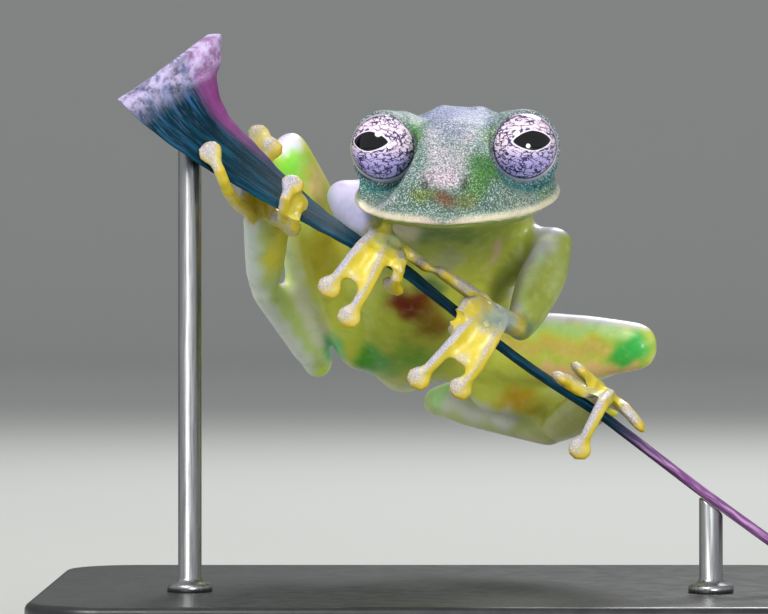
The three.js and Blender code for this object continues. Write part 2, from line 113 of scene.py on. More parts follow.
# How far each nostril is from the middle, its level, and the middle of the mound it lies in
NOSTRIL = (1.02, -1.4)
NOSTRIL_MOUND = (4.5, 0.7, -1.05)
# The low ridge from the inner corner of each eye to its nostril
SNOUT_RIDGE = [
    (1.3, 1.05, 0.85),
    (2.3, 0.85, 0.4),
    (3.2, 0.72, -0.15),
    (4.0, 0.66, -0.75),
    (4.6, 0.7, -1.1),
]

# Soft skin on the left flank, behind the left knee and in the left palm: centre and half sizes.
FOLDS = [
    ((4.4, 12.3, 0.9), (2.9, 3.0, 2.4)),
    ((7.3, 15.3, -4.7), (3.0, 1.2, 1.6)),
    ((5.2, 0.4, -0.76), (0.5, 0.3, 0.42)),
]

# Skin: the flesh solids are swollen until their gaps close, joined, smoothed and drawn in again.
SWELL = 0.17
VOXEL = 0.1
# Rounds of smoothing: before the skin is drawn in, after it, and plain ones on the trunk and limbs
FIRST_ROUNDS = 44
LAST_ROUNDS = 8
EVEN_ROUNDS = 60
# Rounds of averaging: the borders between body parts, the broad form and the colours
BORDER_ROUNDS = 8
BROAD_ROUNDS = 16
COLOUR_ROUNDS = 3

EYES = ("eye_left", "eye_right")
BARE = EYES + ("leaf_perch", "stand_base", "stand_rod_tall", "stand_rod_short")
FLESH = sorted(name for name in nodes if name not in BARE)

# The leaf blade: place, half width and twist in degrees, from its broad end to its thin one.
LEAF = [
    (-10.95, 0.6, 12.3, 3.05, 0),
    (-10.3, 0.8, 10.5, 2.35, 15),
    (-9.1, 1.1, 8.9, 2.1, 42),
    (-7.3, 1.4, 7.4, 1.85, 50),
    (-5.0, 1.6, 5.65, 1.65, 63),
    (-3.3, 1.6, 4.5, 1.5, 70),
    (-1.45, 1.6, 3.3, 1.4, 76),
    (1.05, 1.6, 1.85, 1.3, 80),
    (2.85, 1.6, 0.4, 1.2, 84),
    (7.15, 1.5, -2.9, 1.0, 90),
    (10.7, 1.3, -5.25, 0.85, 90),
    (12.4, 1.2, -6.5, 0.7, 88),
    (16.2, 1.0, -9.4, 0.5, 85),
    (20.6, 0.8, -12.6, 0.4, 80),
]
LEAF_UP = np.array([0.57, 0.0, 0.82])
LEAF_HALF_THICK = 0.25
LEAF_ROWS = 420
LEAF_COLUMNS = 56

# The stand: its base, and each rod's place with the level of its top
BASE = {"width": 42.0, "depth": 32.0, "thick": 2.5, "corner": 4.0, "bevel": 0.4}
CORNER_STEPS = 14
BEVEL_STEPS = 6
RODS = {"stand_rod_tall": (-9.9, 1.9, 9.3), "stand_rod_short": (16.6, 1.0, -9.9)}
ROD_RADIUS = 0.6
ROD_SIDES = 48
# A rod's flared foot, as radius and height above the base, and its top, as radius and depth.
ROD_FOOT = [(1.15, 0.0), (1.15, 0.3), (1.05, 0.42), (0.75, 0.5), (ROD_RADIUS, 0.7)]
ROD_TOP = [(ROD_RADIUS, 0.15), (ROD_RADIUS - 0.05, 0.04), (ROD_RADIUS - 0.15, 0.0)]


# Small helpers

def srgb(code):
    """A colour written as 0xRRGGBB, in Blender's linear values."""
    parts = [((code >> shift) & 255) / 255 for shift in (16, 8, 0)]
    return np.array([p / 12.92 if p < 0.04045 else ((p + 0.055) / 1.055) ** 2.4 for p in parts])


def smoothstep(low, high, value):
    t = np.clip((value - low) / (high - low), 0, 1)
    return t * t * (3 - 2 * t)


def hump(distance, width):
    """1 where the distance is nought, and falling softly to 0 on both sides."""
    return np.exp(-((distance / width) ** 2))


def unit(v):
    return v / np.maximum(np.linalg.norm(v, axis=-1, keepdims=True), 1e-9)


def repeated(mean, values, rounds):
    for _ in range(rounds):
        values = mean(values)
    return values


def link(obj):
    bpy.context.scene.collection.objects.link(obj)
    return obj


def shade_smooth(mesh):
    mesh.polygons.foreach_set("use_smooth", [True] * len(mesh.polygons))


def mesh_object(name, points, faces):
    """An object from points in layout millimetres."""
    mesh = bpy.data.meshes.new(name)
    placed = (np.asarray(points, dtype=float) + np.array(LAYOUT)) * MM
    mesh.from_pydata(placed.tolist(), [], faces)
    mesh.update()
    shade_smooth(mesh)
    return link(bpy.data.objects.new(name, mesh))


def rings_to_faces(rings, count):
    """The faces of a closed tube whose points come ring by ring."""
    faces = []
    for i in range(rings - 1):
        for j in range(count):
            k = (j + 1) % count
            faces.append((i * count + j, i * count + k, (i + 1) * count + k, (i + 1) * count + j))
    faces.append(tuple(range(count))[::-1])
    faces.append(tuple((rings - 1) * count + j for j in range(count)))
    return faces


def read_points(mesh):
    """A mesh's points in layout millimetres."""
    flat = np.empty(len(mesh.vertices) * 3)
    mesh.vertices.foreach_get("co", flat)
    return flat.reshape(-1, 3) / MM - np.array(LAYOUT)


def read_normals(mesh):
    flat = np.empty(len(mesh.vertices) * 3, dtype=np.float32)
    mesh.vertex_normals.foreach_get("vector", flat)
    return flat.reshape(-1, 3).astype(float)


def write_points(mesh, points):
    mesh.vertices.foreach_set("co", ((points + np.array(LAYOUT)) * MM).ravel())
    mesh.update()


def spline(points, samples):
    """Points along a smooth line through the given ones, which may have any number of columns."""
    p = np.asarray(points, dtype=float)
    padded = np.vstack([2 * p[0] - p[1], p, 2 * p[-1] - p[-2]])
    t = np.linspace(0, len(p) - 1, samples)
    k = np.minimum(t.astype(int), len(p) - 2)
    f = (t - k)[:, None]
    a, b, c, d = padded[k], padded[k + 1], padded[k + 2], padded[k + 3]
    square = (2 * a - 5 * b + 4 * c - d) * f**2
    cube = (3 * b - a - 3 * c + d) * f**3
    return 0.5 * (2 * b + (c - a) * f + square + cube)


# The head's frame

def head_axes():
    sine, cosine = math.sin(HEAD_YAW), math.cos(HEAD_YAW)
    level = math.cos(HEAD_PITCH)
    forward = Vector((-sine * level, -cosine * level, -math.sin(HEAD_PITCH)))
    left = Vector((cosine, -sine, 0))
    return np.array([forward, left, forward.cross(left)])


HEAD_AXES = head_axes()


def from_head(points):
    return np.asarray(points, dtype=float) @ HEAD_AXES + np.array(HEAD_AT)


def to_head(points):
    return (points - np.array(HEAD_AT)) @ HEAD_AXES.T


def eye_centre(sign):
    return np.array([0, sign * EYE_APART, 0])


def gaze(sign):
    """Where an eye looks, in the head's frame."""
    way = np.array([math.cos(GAZE_OUT), sign * math.sin(GAZE_OUT), GAZE_UP])
    return way / np.linalg.norm(way)


# Camera, lights and floor

def add_camera():
    data = bpy.data.cameras.new("camera")
    data.sensor_width = SENSOR
    data.lens = SENSOR * CAMERA_DISTANCE / VIEW_WIDTH
    data.clip_start = CAMERA_CLIP * MM
    camera = link(bpy.data.objects.new("camera", data))
    camera.location = (LAYOUT + Vector((0, -CAMERA_DISTANCE, 0))) * MM
    camera.rotation_euler = (math.radians(90), 0, 0)
    bpy.context.scene.camera = camera


def add_light(name, place, size, power, colour):
    data = bpy.data.lights.new(name, "AREA")
    data.shape = "DISK"
    data.size = size
    data.energy = power
    data.color = colour
    light = link(bpy.data.objects.new(name, data))
    light.location = place
    aim = LAYOUT * MM - Vector(place)
    light.rotation_euler = aim.to_track_quat("-Z", "Y").to_euler()


def add_lights():
    for name, (place, size, power, colour) in LIGHTS.items():
        add_light(name, place, size, power, colour)
    world = bpy.data.worlds.new("studio")
    world.use_nodes = True
    sky = world.node_tree.nodes["Background"]
    sky.inputs["Color"].default_value = SKY_COLOUR
    sky.inputs["Strength"].default_value = SKY_STRENGTH
    bpy.context.scene.world = world
    bpy.context.scene.view_settings.view_transform = "Standard"


def add_floor():
    """A pale floor that curves up into a wall far behind the part."""
    level = -LAYOUT.z
    straight = WALL_DISTANCE - BEND_RADIUS
    profile = [(-FLOOR_FRONT, level), (straight, level)]
    for i in range(1, BEND_STEPS + 1):
        turn = i / BEND_STEPS * math.pi / 2
        rise = BEND_RADIUS * (1 - math.cos(turn))
        profile.append((straight + BEND_RADIUS * math.sin(turn), level + rise))
    profile.append((WALL_DISTANCE, level + WALL_HEIGHT))
    points = []
    for y, z in profile:
        points.append((-FLOOR_HALF_WIDTH, y, z))
        points.append((FLOOR_HALF_WIDTH, y, z))
    faces = [(2 * i, 2 * i + 1, 2 * i + 3, 2 * i + 2) for i in range(len(profile) - 1)]
    floor = mesh_object("floor", points, faces)
    g = Graph("floor")
    g.surface({"Base Color": FLOOR_COLOUR, "Roughness": 0.9})
    floor.data.materials.append(g.material)


# Node helpers

class Graph:
    """A new material, with short calls for its nodes."""

    def __init__(self, name):
        self.material = bpy.data.materials.new(name)
        self.material.use_nodes = True
        self.tree = self.material.node_tree

    def surface(self, values):
        """Sets the shader's inputs, each by its name, to a number, a colour or a node's socket."""
        for name, value in values.items():
            self.put(self.tree.nodes["Principled BSDF"].inputs[name], value)

    def put(self, socket, value):
        if isinstance(value, bpy.types.NodeSocket):
            self.tree.links.new(value, socket)
        else:
            socket.default_value = value

    def node(self, kind, inputs=None, **settings):
        """A node with its settings, and with its inputs set by their names or numbers."""
        made = self.tree.nodes.new(kind)
        for key, value in settings.items():
            setattr(made, key, value)
        for key, value in (inputs or {}).items():
            self.put(made.inputs[key], value)
        return made

    def attribute(self, name, kind="Fac"):
        return self.node("ShaderNodeAttribute", attribute_name=name).outputs[kind]

    def noise(self, place, scale, detail=3.0, rough=0.5, distort=0.0, out="Fac"):
        inputs = {"Vector": place, "Scale": scale, "Detail": detail}
        inputs.update({"Roughness": rough, "Distortion": distort})
        return self.node("ShaderNodeTexNoise", inputs).outputs[out]

    def cells(self, place, scale):
        """Distance from the middle of the nearest cell."""
        made = self.node("ShaderNodeTexVoronoi", {"Vector": place, "Scale": scale})
        return made.outputs["Distance"]

    def math(self, operation, a, b=0.0):
        return self.node("ShaderNodeMath", {0: a, 1: b}, operation=operation).outputs[0]

    def times(self, a, b):
        return self.math("MULTIPLY", a, b)

    def vector(self, operation, a, b):
        return self.node("ShaderNodeVectorMath", {0: a, 1: b}, operation=operation).outputs[0]

    def scaled(self, value, factor):
        inputs = {0: value, "Scale": factor}
        return self.node("ShaderNodeVectorMath", inputs, operation="SCALE").outputs[0]

    def apart(self, vector):
        """The three parts of a vector."""
        return self.node("ShaderNodeSeparateXYZ", {0: vector}).outputs

    def ramp(self, value, low, high, out_low=0.0, out_high=1.0):
        inputs = {"Value": value, "From Min": low, "From Max": high}
        inputs.update({"To Min": out_low, "To Max": out_high})
        made = self.node("ShaderNodeMapRange", inputs, interpolation_type="SMOOTHSTEP")
        return made.outputs["Result"]

    def mix(self, share, a, b):
        """Share 0 gives the first colour, and 1 the second."""
        inputs = {0: share, 6: colour4(a), 7: colour4(b)}
        return self.node("ShaderNodeMix", inputs, data_type="RGBA").outputs[2]

    def bump(self, height, strength, distance):
        inputs = {"Height": height, "Strength": strength, "Distance": distance}
        return self.node("ShaderNodeBump", inputs).outputs["Normal"]


def colour4(value):
    """A colour's node socket as it is, or a colour written as 0xRRGGBB with full cover."""
    if isinstance(value, bpy.types.NodeSocket):
        return value
    return (*srgb(value), 1)


def store(mesh, name, kind, values):
    layer = mesh.attributes.new(name, kind, "POINT")
    field = {"FLOAT": "value", "FLOAT_VECTOR": "vector", "FLOAT_COLOR": "color"}[kind]
    layer.data.foreach_set(field, np.asarray(values, dtype=np.float32).ravel())


# The skin

def swollen_flesh():
    """All flesh solids in one mesh, each a little thicker, with the eye sockets filled."""
    made = bmesh.new()
    for name in FLESH:
        piece = bmesh.new()
        piece.from_mesh(nodes[name].data)
        bmesh.ops.remove_doubles(piece, verts=piece.verts, dist=1e-6)
        piece.normal_update()
        for vertex in piece.verts:
            vertex.co += vertex.normal * SWELL * MM
        mesh = bpy.data.meshes.new("piece")
        piece.to_mesh(mesh)
        made.from_mesh(mesh)
        bpy.data.meshes.remove(mesh)
        piece.free()
    for sign in SIDES:
        centre = (Vector(from_head(eye_centre(sign))) + LAYOUT) * MM
        ball = bmesh.ops.create_icosphere(made, subdivisions=4, radius=(EYE_RADIUS + 0.1) * MM)
        bmesh.ops.translate(made, verts=ball["verts"], vec=centre)
    for centre, halves in FOLDS:
        fold = bmesh.ops.create_icosphere(made, subdivisions=3, radius=1.0)
        bmesh.ops.scale(made, verts=fold["verts"], vec=Vector(halves) * MM)
        bmesh.ops.translate(made, verts=fold["verts"], vec=(Vector(centre) + LAYOUT) * MM)
    # The remesher works best on large numbers, so the mesh is in millimetres until it is remeshed.
    bmesh.ops.scale(made, verts=made.verts, vec=Vector((1, 1, 1)) / MM)
    mesh = bpy.data.meshes.new("frog_skin")
    made.to_mesh(mesh)
    made.free()
    return mesh


def remeshed(mesh):
    raw = link(bpy.data.objects.new("frog_skin_raw", mesh))
    remesh = raw.modifiers.new("remesh", "REMESH")
    remesh.mode = "VOXEL"
    remesh.voxel_size = VOXEL
    remesh.use_smooth_shade = True
    graph = bpy.context.evaluated_depsgraph_get()
    made = bpy.data.meshes.new_from_object(raw.evaluated_get(graph))
    bpy.data.objects.remove(raw)
    made.transform(Matrix.Scale(MM, 4))
    made.name = "frog_skin"
    return made


def averager(mesh):
    """A function that replaces each point's values by the mean of its neighbours'."""
    edges = np.empty(len(mesh.edges) * 2, dtype=np.int64)
    mesh.edges.foreach_get("vertices", edges)
    a, b = edges.reshape(-1, 2).T
    count = np.bincount(np.concatenate([a, b]), minlength=len(mesh.vertices))

    def mean(values):
        total = np.empty_like(values)
        for column in range(values.shape[1]):
            v = values[:, column]
            total[:, column] = np.bincount(a, v[b], len(v)) + np.bincount(b, v[a], len(v))
        return total / count[:, None]

    return mean


def smoothed(points, mean, rounds):
    """Smoothing that keeps the volume: each step inwards is followed by one outwards."""
    for _ in range(rounds):
        points = points + 0.6 * (mean(points) - points)
        points = points - 0.6 * (mean(points) - points)
    return points


def evened(points, mean, w):
    """Plain smoothing of the trunk and limbs, which takes away the long flats of the solids."""
    nape = w["head"] * smoothstep(-2.6, -4.4, to_head(points)[:, 0])
    stout = w["torso"] + w["thigh"] + w["shank"] + w["tarsus"] + w["arm"] + nape
    share = np.clip(stout, 0, 1)[:, None]
    for _ in range(EVEN_ROUNDS):
        points = points + share * (mean(points) - points)
    return points


def node_of_each(points):
    """The name of the flesh solid nearest to each point, as an index in FLESH."""
    corners = []
    faces = []
    owner = []
    for index, name in enumerate(FLESH):
        mesh = nodes[name].data
        start = len(corners)
        corners.extend(read_points(mesh).tolist())
        for face in mesh.polygons:
            faces.append([start + v for v in face.vertices])
            owner.append(index)
    tree = BVHTree.FromPolygons(corners, faces)
    return np.array([owner[tree.find_nearest(Vector(p))[2]] for p in points])


def region_weights(points, mean):
    """For each kind of body part, how much each point belongs to it, with soft borders."""
    owner = node_of_each(points)
    kinds = {kind: (kind,) for kind in ("head", "torso", "hand", "thigh", "shank", "tarsus", "foot")}
    kinds["jaw"] = ("lower_jaw",)
    kinds["arm"] = ("upper_arm", "forearm")
    table = np.zeros((len(points), len(kinds)))
    for column, starts in enumerate(kinds.values()):
        members = [i for i, name in enumerate(FLESH) if name.startswith(starts)]
        table[:, column] = np.isin(owner, members)
    table = repeated(mean, table, BORDER_ROUNDS)
    return {kind: table[:, column] for column, kind in enumerate(kinds)}


def mouth_curve(drop):
    """The line of the mouth round the front of the head, in the head's frame."""
    side = np.array(JAW_RIM) - np.array([0, 0, drop])
    mirrored = side[:-1][::-1] * np.array([1, -1, 1])
    return spline(np.vstack([side, mirrored]), 240)


def distance_to(points, curve):
    """Distance from each point to the nearest of a curve's closely set points."""
    best = np.full(len(points), 1e9)
    for q in curve:
        best = np.minimum(best, ((points - q) ** 2).sum(axis=1))
    return np.sqrt(best)


def lowered(value, limit, soft=0.1):
    """The value, or the limit where that is less, with a soft change between them."""
    gap = value - limit
    return value - 0.5 * (gap + np.sqrt(gap**2 + soft**2))


def bay_axis(sign):
    """The way each eye's lids open, in the head's frame."""
    return unit(np.array([math.cos(BAY_OUT), sign * math.sin(BAY_OUT), BAY_UP]))


def shape_bays(head):
    """Clears the skin from in front of each eye, and leaves the lid's edge round it."""
    edge_height, edge_width = LID_EDGE
    for sign in SIDES:
        axis = bay_axis(sign)
        offset = head - eye_centre(sign)
        height = offset @ axis
        across = offset - height[:, None] * axis
        out = np.linalg.norm(across, axis=1)
        hidden = np.sqrt(np.maximum((EYE_RADIUS - UNDER_EYE) ** 2 - out**2, 0))
        inner = unit(across) @ unit(np.array([0, -sign, -0.5]))
        level = LID_LEVEL - LID_DIP[sign] * smoothstep(0.1, 0.8, inner)
        past = np.maximum(out - LID_RADIUS, 0)
        edge = edge_height * hump(out - LID_RADIUS + 0.03, edge_width)
        slope, growth = LID_RISE[sign]
        limit = np.maximum(hidden, level + edge + slope * past + growth * past**2)
        near = (1 - smoothstep(2.7, 3.6, out)) * (height > -0.9)
        head = head + (near * (lowered(height, limit) - height))[:, None] * axis
    return head


def shape_brows(head):
    """Fits the skin closely over the top and outer side of each eye."""
    for sign in SIDES:
        offset = head - eye_centre(sign)
        far = np.linalg.norm(offset, axis=1)
        way = offset / far[:, None]
        behind = np.maximum(-(way @ bay_axis(sign)) - 0.2, 0)
        cap = BROW_RADIUS + 2.6 * behind**2
        upper = smoothstep(-0.15, 0.3, way @ np.array([0, 0.55 * sign, 0.84]))
        share = upper * (1 - smoothstep(2.7, 3.4, far))
        head = head + way * (share * (lowered(far, cap, 0.06) - far))[:, None]
    return head


def shape_crown(head, normals):
    """Fills the crown between the eyes and raises two low bumps on the nape."""
    along = smoothstep(2.0, 0.5, head[:, 0]) * smoothstep(-4.5, -2.5, head[:, 0])
    lift = 0.16 * hump(head[:, 1], 1.5) * along
    for x, y in NAPE_BUMPS:
        lift = lift + 0.2 * hump(head[:, 0] - x, 0.9) * hump(head[:, 1] - y, 0.5)
    return head + normals * (lift * smoothstep(0.3, 0.8, normals[:, 2]))[:, None]


def ridge_distance(head):
    """Distance to the nearer of the two ridges that run from the eyes down to the nostrils."""
    ridge = spline(np.array(SNOUT_RIDGE), 50)
    return np.minimum(*[distance_to(head, ridge * np.array([1, sign, 1])) for sign in SIDES])


def nostril_distance(head):
    """Distance to the nearer nostril, measured across the snout."""
    away = np.hypot(np.abs(head[:, 1]) - NOSTRIL[0], head[:, 2] - NOSTRIL[1])
    return np.where(head[:, 0] > 3.0, away, 9.0)


def shape_snout(head, normals):
    """Low knobbly ridges run down the snout to the nostrils, which are small pits in a mound."""
    rough = 0.6 + 0.4 * np.sin(head[:, 0] * 9) * np.sin(head[:, 1] * 11 + 1)
    lift = 0.2 * rough * hump(ridge_distance(head), 0.2)
    for sign in SIDES:
        middle = np.array(NOSTRIL_MOUND) * np.array([1, sign, 1])
        lift = lift + 0.2 * rough * hump(np.linalg.norm(head - middle, axis=1), 0.45)
    lift = lift - 0.4 * hump(nostril_distance(head), 0.15)
    return head + normals * lift[:, None]


def shape_mouth(head, normals):
    """A rounded lip runs round the upper jaw, with the line of the mouth below it."""
    lip = distance_to(head, mouth_curve(LIP_DROP))
    head = head + normals * (0.1 * hump(lip, 0.16))[:, None]
    line = distance_to(head, mouth_curve(MOUTH_DROP))
    return head - normals * (0.16 * hump(line, 0.08))[:, None]


def shaped_head(points, normals, weights):
    """The head's own forms: crown, snout, mouth, brows and lids."""
    at_head = (weights["head"] + weights["jaw"] + weights["torso"] * (points[:, 2] > 8)) > 0.02
    head = to_head(points[at_head])
    turned = normals[at_head] @ HEAD_AXES.T
    head = shape_crown(head, turned)
    head = shape_snout(head, turned)
    head = shape_mouth(head, turned)
    head = shape_brows(head)
    head = shape_bays(head)
    points = points.copy()
    points[at_head] = from_head(head)
    return points


def wavy(points):
    """The points moved about a little in waves, so that painted patches get uneven edges."""
    x, y, z = points.T
    shift = np.column_stack(
        [
            np.sin(2.1 * z + 1.3 * y + 0.5) + 0.6 * np.sin(5.3 * z - 2.9 * x + 1.1),
            np.sin(1.9 * x + 1.7 * z + 2.0) + 0.6 * np.sin(4.7 * x + 3.1 * z),
            np.sin(2.3 * x - 1.1 * y + 4.0) + 0.6 * np.sin(5.9 * x + 2.3 * y + 0.7),
        ]
    )
    return points + 0.17 * shift


def blob(points, centre, radius):
    """A soft round patch: 1 at its centre, fading out at the radius."""
    away = np.linalg.norm((points - np.array(centre)) / np.array(radius), axis=1)
    return 1 - smoothstep(0.35, 1.0, away)


def paint(colour, share, code):
    return colour * (1 - share[:, None]) + srgb(code) * share[:, None]


def paint_patches(colour, points, patches, mask):
    """Paints soft round patches where the mask lets them show."""
    for centre, radius, code, share in patches:
        colour = paint(colour, blob(points, centre, radius) * share * mask, code)
    return colour


# Which way the tops of the limbs and the frog's back face
TOP_WAY = np.array([-0.1, 0.15, 0.98])
BACK_WAY = np.array([0.0, 0.6, 0.8])

# Soft patches of colour: centre, half sizes, colour and strength. Body patches are about the layout
# point, and those of the face are in the head's frame.
BODY_PATCHES = [
    ((-3.2, 10.0, 2.6), (1.9, 5.0, 3.2), 0xCDBE2A, 0.8),
    ((-0.9, 12.5, -1.2), (2.8, 4.5, 2.8), 0xB4C42E, 0.7),
    ((-0.4, 15.4, -3.0), (1.7, 4.0, 1.5), 0x4DB030, 0.95),
    ((1.8, 12.5, -3.0), (2.2, 4.5, 1.3), 0x7EBE3A, 0.8),
    ((1.5, 10.3, 0.1), (2.1, 3.4, 1.25), 0x8F4A14, 1.0),
    ((1.3, 10.3, 0.2), (1.1, 3.0, 0.6), 0x7E2A10, 0.8),
    ((2.7, 10.6, -1.1), (1.3, 2.6, 1.1), 0xA0701A, 0.85),
    ((4.5, 8.5, 0.4), (0.6, 2.5, 0.35), 0x5C3F10, 0.8),
    ((2.6, 8.5, 1.0), (1.3, 2.8, 0.9), 0x2F7048, 0.8),
    # Painted shade: dark olive on the throat, under the lip.
    ((3.4, 6.0, 3.9), (3.2, 2.8, 0.8), 0x5C8420, 0.85),
    ((0.9, 5.6, 4.0), (1.3, 3.0, 1.2), 0xDCD4AC, 0.9),
    ((3.3, 7.0, 2.3), (1.5, 2.6, 0.9), 0x9A9C84, 0.6),
    ((-5.3, 8.9, 8.7), (1.4, 2.0, 0.85), 0xDCD8F2, 1.0),
    ((-4.9, 8.9, 7.2), (1.15, 2.6, 1.7), 0x8CE042, 1.0),
    ((-3.4, 9.4, 6.4), (0.6, 3.0, 2.4), 0xF0D488, 0.95),
    ((-4.2, 10.0, 5.0), (1.0, 3.0, 1.6), 0xCEDC62, 0.8),
    ((-2.7, 17.0, -2.2), (1.0, 3.4, 1.7), 0x3CC872, 1.0),
    ((-3.3, 18.6, -3.7), (1.4, 2.6, 0.8), 0xC6E634, 0.95),
    ((13.0, 10.6, -2.4), (1.7, 2.6, 1.6), 0x2FB146, 1.0),
    ((8.5, 5.4, 3.5), (0.6, 1.2, 0.45), 0xDCF2B8, 1.0),
    ((7.9, 5.0, 2.7), (0.5, 1.5, 0.8), 0x52AA8A, 0.9),
    ((7.0, 2.8, -1.1), (1.1, 1.8, 0.8), 0x1F5E4E, 0.95),
    ((6.0, 1.6, -1.4), (1.0, 1.4, 0.6), 0x9FB4AC, 0.8),
    ((7.6, 15.4, -5.1), (2.0, 3.8, 1.1), 0xD8B01C, 1.0),
    ((3.0, 18.5, -4.9), (1.7, 3.4, 1.2), 0xA8E092, 0.9),
    ((9.0, 14.0, -5.3), (1.6, 3.0, 1.0), 0xB4B842, 0.8),
]
# Streaks of colour along a line: start, end, radius, colour and strength.
BODY_STREAKS = [
    ((8.0, 4.9, 2.8), (6.9, 3.6, -0.4), 0.3, 0xAFC454, 0.8),
    ((8.9, 5.0, 3.2), (8.9, 5.0, -0.2), 0.35, 0x9AA866, 0.6),
    ((6.0, 7.3, 3.4), (4.7, 7.4, 0.2), 0.2, 0xC4A890, 0.9),
    # Pale grey white along the left edges of the right foot and tarsus: their own colour, partly a
    # painted highlight on the side that faces the key light.
    ((-7.4, 6.4, 4.8), (-7.4, 11.8, 1.0), 0.85, 0xDCE6E0, 0.95),
    ((-7.2, 12.0, 0.8), (-4.7, 18.0, -3.3), 0.85, 0xDDE4D8, 0.95),
    ((-5.2, 5.5, 4.6), (-5.9, 8.4, 2.2), 0.8, 0xDCD21C, 0.9),
    ((-4.6, 12.5, 1.4), (-3.6, 17.0, -1.6), 0.55, 0xDCDEBC, 0.9),
    ((6.5, 11.5, -0.95), (12.6, 10.8, -1.2), 0.5, 0xB6DC84, 0.95),
    ((6.5, 11.5, -2.0), (11.6, 10.6, -2.3), 0.5, 0xD6BA54, 0.9),
    ((8.5, 11.5, -3.5), (13.4, 11.0, -3.5), 0.5, 0xEEC48A, 0.9),
    ((3.8, 17.5, -5.4), (6.6, 15.3, -6.2), 0.75, 0xDCE0D6, 0.95),
    ((3.2, 17.0, -6.3), (9.0, 14.4, -7.6), 0.35, 0xEAE2B8, 0.9),
]
FACE_PATCHES = [
    ((-1.4, 0.0, 1.8), (4.8, 2.9, 1.6), 0x979FCE, 1.0),
    ((1.4, 0.0, 1.0), (2.4, 1.6, 1.0), 0x9FA4BE, 0.85),
    ((1.1, -2.0, 0.75), (1.5, 0.85, 1.4), 0x4A8E38, 0.95),
    ((2.2, -2.0, -0.2), (1.4, 0.7, 1.0), 0x5E9A62, 0.75),
    ((1.2, 2.0, 0.6), (1.2, 0.6, 0.9), 0x7FA35E, 0.6),
    ((3.4, 2.1, -0.8), (2.3, 1.5, 1.45), 0x2F7A18, 1.0),
    ((4.3, 1.6, -1.4), (1.4, 1.1, 0.9), 0x4E8E22, 0.8),
    ((3.4, -1.5, -1.2), (1.4, 0.6, 0.9), 0xB6BCD6, 0.7),
    ((5.05, 1.2, -1.95), (1.1, 0.9, 0.6), 0x707E18, 0.9),
    ((5.05, -1.0, -1.95), (1.1, 1.05, 0.65), 0x728820, 0.9),
    ((5.1, 0.1, -2.1), (0.9, 0.85, 0.6), 0x7C4A18, 0.95),
    ((4.3, -0.1, -0.95), (1.4, 1.5, 0.85), 0xD8C2D0, 1.0),
    ((3.2, 0.0, -0.2), (1.5, 1.0, 0.8), 0xCCC2D0, 0.75),
    ((4.8, 0.0, -1.5), (0.5, 0.5, 0.22), 0xC8C0CC, 0.6),
    ((3.4, -3.6, -2.1), (2.4, 1.9, 0.75), 0xD2D8E2, 0.95),
    ((3.1, 3.6, -2.4), (2.4, 1.8, 0.5), 0xA9B8A2, 0.8),
    ((1.0, 4.8, -2.0), (2.2, 0.9, 0.7), 0x7F9A5E, 0.8),
]
# Where the face has few pale granules
CLEAR_PATCHES = [
    ((3.5, 2.05, -0.9), (2.2, 1.3, 1.25)),
    ((5.05, 0.2, -2.0), (1.4, 2.1, 0.75)),
    ((1.1, -2.0, 0.75), (1.2, 0.75, 1.1)),
]


def streak(points, start, end, radius):
    """A soft band along a line: 1 in its middle, fading out at the radius, and deep along y."""
    flat = np.array([1, 0.2, 1])
    start = np.array(start) * flat
    along = np.array(end) * flat - start
    points = points * flat
    share = np.clip(((points - start) @ along) / (along @ along), 0, 1)
    away = np.linalg.norm(points - start - share[:, None] * along, axis=1)
    return 1 - smoothstep(0.4 * radius, 1.3 * radius, away)


def on_back(normals, w):
    """How much each point belongs to the frog's back."""
    return smoothstep(0.0, 0.6, normals @ BACK_WAY) * w["torso"]


def body_colours(points, normals, w):
    """The broad colours of the trunk, arms and legs, with painted shade on the chest, throat and
    lower jaw, and a partly painted highlight along the left edges of the right foot and tarsus.
    """
    top = smoothstep(0.3, 0.9, normals @ TOP_WAY)
    right = smoothstep(1.0, -1.0, points[:, 0])
    limbs = np.clip(w["thigh"] + w["shank"] + w["tarsus"] + w["foot"] + w["arm"], 0, 1)
    colour = np.tile(srgb(0xCDD44E), (len(points), 1))
    # Painted shade: the chest and throat under the head are painted darker olive, and the lower jaw,
    # tucked under the lip, darker still.
    chest_shade = smoothstep(0.5, 3.5, points[:, 2]) * (w["torso"] + w["jaw"])
    colour = paint(colour, chest_shade * 0.85, 0x8E9A44)
    colour = paint(colour, w["jaw"] * 0.7, 0x6C8A1C)
    colour = paint(colour, w["arm"] * 0.85, 0x87923A)
    upright = smoothstep(2.6, 4.4, points[:, 2]) * w["arm"] * right
    colour = paint(colour, upright * 0.95, 0xB7B6E2)
    colour = paint(colour, w["shank"] * 0.8, 0xC8DC98)
    colour = paint(colour, w["tarsus"] * 0.8, 0xC6D08C)
    colour = paint(colour, (w["tarsus"] + w["foot"]) * right * 0.8, 0xC0D87E)
    uneven = wavy(points)
    colour = paint_patches(colour, uneven, BODY_PATCHES, 1 - w["head"])
    for start, end, radius, code, share in BODY_STREAKS:
        colour = paint(colour, streak(uneven, start, end, radius) * share * (1 - w["head"]), code)
    colour = paint(colour, np.clip(on_back(normals, w) + w["head"], 0, 1) * 0.9, 0x93B392)
    upper = smoothstep(-4.4, -3.4, points[:, 2])
    return paint(colour, top * upper * limbs * 0.9, 0xD6CBEE)


# The palms and the backs of the feet, which are greyer than the digits
PALMS = [
    ((5.9, 0.6, -0.8), (2.0, 2.6, 1.15), 0x9DACA8, 0.95),
    ((0.3, 1.2, 3.1), (1.2, 2.4, 0.9), 0xA6B48C, 0.8),
    ((10.4, 0.8, -4.6), (0.9, 2.0, 0.8), 0xB4BC9C, 0.7),
    ((-5.4, 1.6, 5.4), (1.2, 2.4, 1.2), 0xB8C070, 0.6),
]


